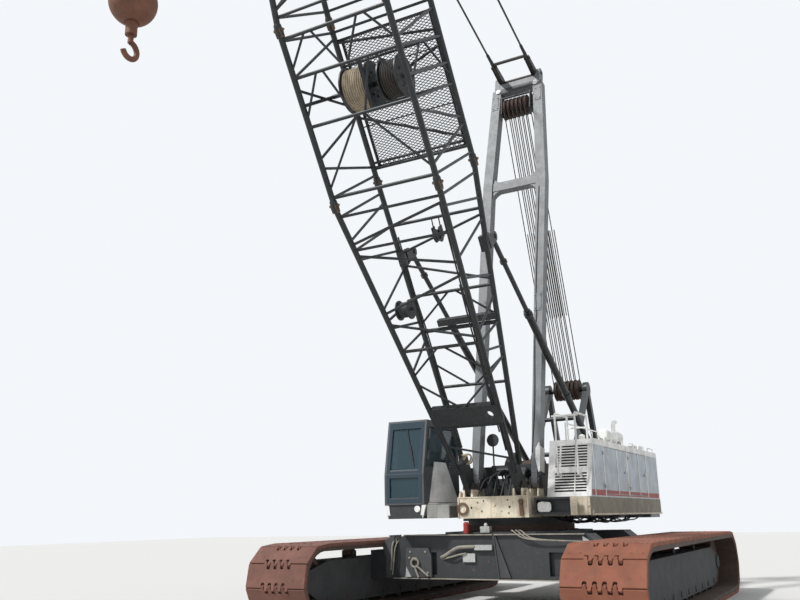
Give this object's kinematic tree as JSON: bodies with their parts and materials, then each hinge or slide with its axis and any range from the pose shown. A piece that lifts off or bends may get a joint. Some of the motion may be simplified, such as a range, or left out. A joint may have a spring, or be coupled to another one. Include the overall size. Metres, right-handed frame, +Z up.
{
  "type": "crawler crane",
  "caption": "Crawler crane with a tubular lattice boom held by a live mast, an engine house, a cab and an overhaul ball with its hook",
  "frame": {"origin": "ground level below the slewing axis, midway between the tracks", "axes": "+X towards the front of the crane, +Y to its left, +Z up"},
  "size_m": [16.3177, 6.75, 16.188],
  "materials": {
    "carbody_paint": "dark grey paint, dirty and worn",
    "frame_paint": "grey paint under dirt and rust",
    "track_steel": "rust brown, matt",
    "rusty_steel": "dark rust, matt",
    "skirt_paint": "tan grey paint, matt",
    "cream_paint": "cream paint with rust runs",
    "house_white": "white paint, satin",
    "house_blue": "light blue grey paint with a red stripe, satin",
    "mast_grey": "light grey paint, satin",
    "boom_black": "black paint with pale worn streaks",
    "window_glass": "dark tinted",
    "seat_vinyl": "dark, matt",
    "wire_rope": "greased wire rope, dark"
  },
  "bodies": {
    "lower": {"carbody": "carbody_paint", "side_frame_left": "frame_paint", "side_frame_right": "frame_paint", "track_left": "track_steel", "track_right": "track_steel", "drive_sprockets": "rusty_steel", "front_idlers": "rusty_steel", "track_rollers": "rusty_steel", "carrier_rollers": "rusty_steel", "slewing_ring": "rusty_steel"},
    "upper": {"turntable": "carbody_paint", "bed": "skirt_paint", "foot_frame": "cream_paint", "deck_left": "skirt_paint", "deck_right": "skirt_paint", "front_bumper": "carbody_paint", "house_shell": "house_white", "engine": "carbody_paint", "muffler": "house_white", "counterweight": "mast_grey", "gantry": "boom_black", "gantry_sheaves": "rusty_steel", "winch_frame": "carbody_paint", "winch_drums": "rusty_steel", "cab_shell": "mast_grey", "cab_glass": "window_glass", "cab_seat": "seat_vinyl", "handrails": "house_white", "lamps": "house_white"},
    "front_house_door": {"house_door_front": "house_blue"},
    "rear_house_door": {"house_door_rear": "house_blue"},
    "driver_door": {"cab_door": "mast_grey"},
    "boom": {"boom_base": "boom_black", "boom_insert": "boom_black", "boom_tip": "boom_black", "boom_catwalk": "rusty_steel", "boom_spools": "rusty_steel", "tip_sheaves": "rusty_steel"},
    "live_mast": {"mast": "mast_grey", "mast_sheaves": "rusty_steel"},
    "boom_pendants": {"pendants": "wire_rope"},
    "upper_ropes": {"hoist_ropes_upper": "wire_rope"},
    "lower_ropes": {"hoist_ropes_lower": "wire_rope"},
    "stop_tubes": {"backstop_tubes": "boom_black"},
    "stop_rods": {"backstop_rods": "carbody_paint"},
    "hook_line": {"hook_rope": "wire_rope", "hook_ball": "rusty_steel"},
    "hook_block": {"hook": "rusty_steel"}
  },
  "joints": [
    {"name": "slew", "type": "hinge", "parent": "lower", "child": "upper", "pos_m": [0, 0, 1.49], "axis": [0, 0, 1], "continuous": true},
    {"name": "boom_luff", "type": "hinge", "parent": "upper", "child": "boom", "pos_m": [1.18, 0, 2.14], "axis": [0, -1, 0], "range_deg": [-28.8, 23.2]},
    {"name": "mast_luff", "type": "hinge", "parent": "upper", "child": "live_mast", "pos_m": [0.6, 0, 2.25], "axis": [0, -1, 0], "range_deg": [-29.7, 24]},
    {"name": "pendant_swing", "type": "hinge", "parent": "live_mast", "child": "boom_pendants", "pos_m": [-1.51539, 0, 11.95206], "axis": [0, -1, 0], "range_deg": [-1.8, 2.2]},
    {"name": "upper_rope_swing", "type": "hinge", "parent": "live_mast", "child": "upper_ropes", "pos_m": [-1.33432, 0, 11.12157], "axis": [0, -1, 0], "range_deg": [-2.8, 2.3]},
    {"name": "lower_rope_swing", "type": "hinge", "parent": "upper", "child": "lower_ropes", "pos_m": [-3.6, 0, 4.56], "axis": [0, -1, 0], "range_deg": [-32.4, 26.2]},
    {"name": "backstop_swing", "type": "hinge", "parent": "upper", "child": "stop_tubes", "pos_m": [-3.5, 0, 2.4], "axis": [0, -1, 0], "range_deg": [-14.4, 11.6]},
    {"name": "backstop_slide", "type": "slide", "parent": "stop_tubes", "child": "stop_rods", "axis": [0.836, 0, 0.5488], "range_m": [-1.08, 1.34]},
    {"name": "hook_hang", "type": "hinge", "parent": "boom", "child": "hook_line", "pos_m": [10.17646, 0, 15.88804], "axis": [0, -1, 0], "range_deg": [-23.3, 28.9]},
    {"name": "hook_swivel", "type": "hinge", "parent": "hook_line", "child": "hook_block", "pos_m": [10.46276, 0, 6.779], "axis": [0, 0, 1], "continuous": true},
    {"name": "front_house_door_hinge", "type": "hinge", "parent": "upper", "child": "front_house_door", "pos_m": [0, 1.756, 2.46], "axis": [0, 0, -1], "range_deg": [0, 100]},
    {"name": "rear_house_door_hinge", "type": "hinge", "parent": "upper", "child": "rear_house_door", "pos_m": [-1.87, 1.756, 2.46], "axis": [0, 0, -1], "range_deg": [0, 100]},
    {"name": "cab_door_hinge", "type": "hinge", "parent": "upper", "child": "driver_door", "pos_m": [1.32, -1.946, 2.65], "axis": [0, 0, 1], "range_deg": [0, 100]}
  ],
  "couplings": [
    {"joint": "mast_luff", "follows": "boom_luff", "ratio": 1.0263},
    {"joint": "pendant_swing", "follows": "boom_luff", "ratio": -0.072},
    {"joint": "upper_rope_swing", "follows": "boom_luff", "ratio": 0.0911},
    {"joint": "lower_rope_swing", "follows": "boom_luff", "ratio": 1.1174},
    {"joint": "backstop_swing", "follows": "boom_luff", "ratio": 0.495},
    {"joint": "backstop_slide", "follows": "boom_luff", "m_per_rad": -2.65},
    {"joint": "hook_hang", "follows": "boom_luff", "ratio": -1}
  ]
}
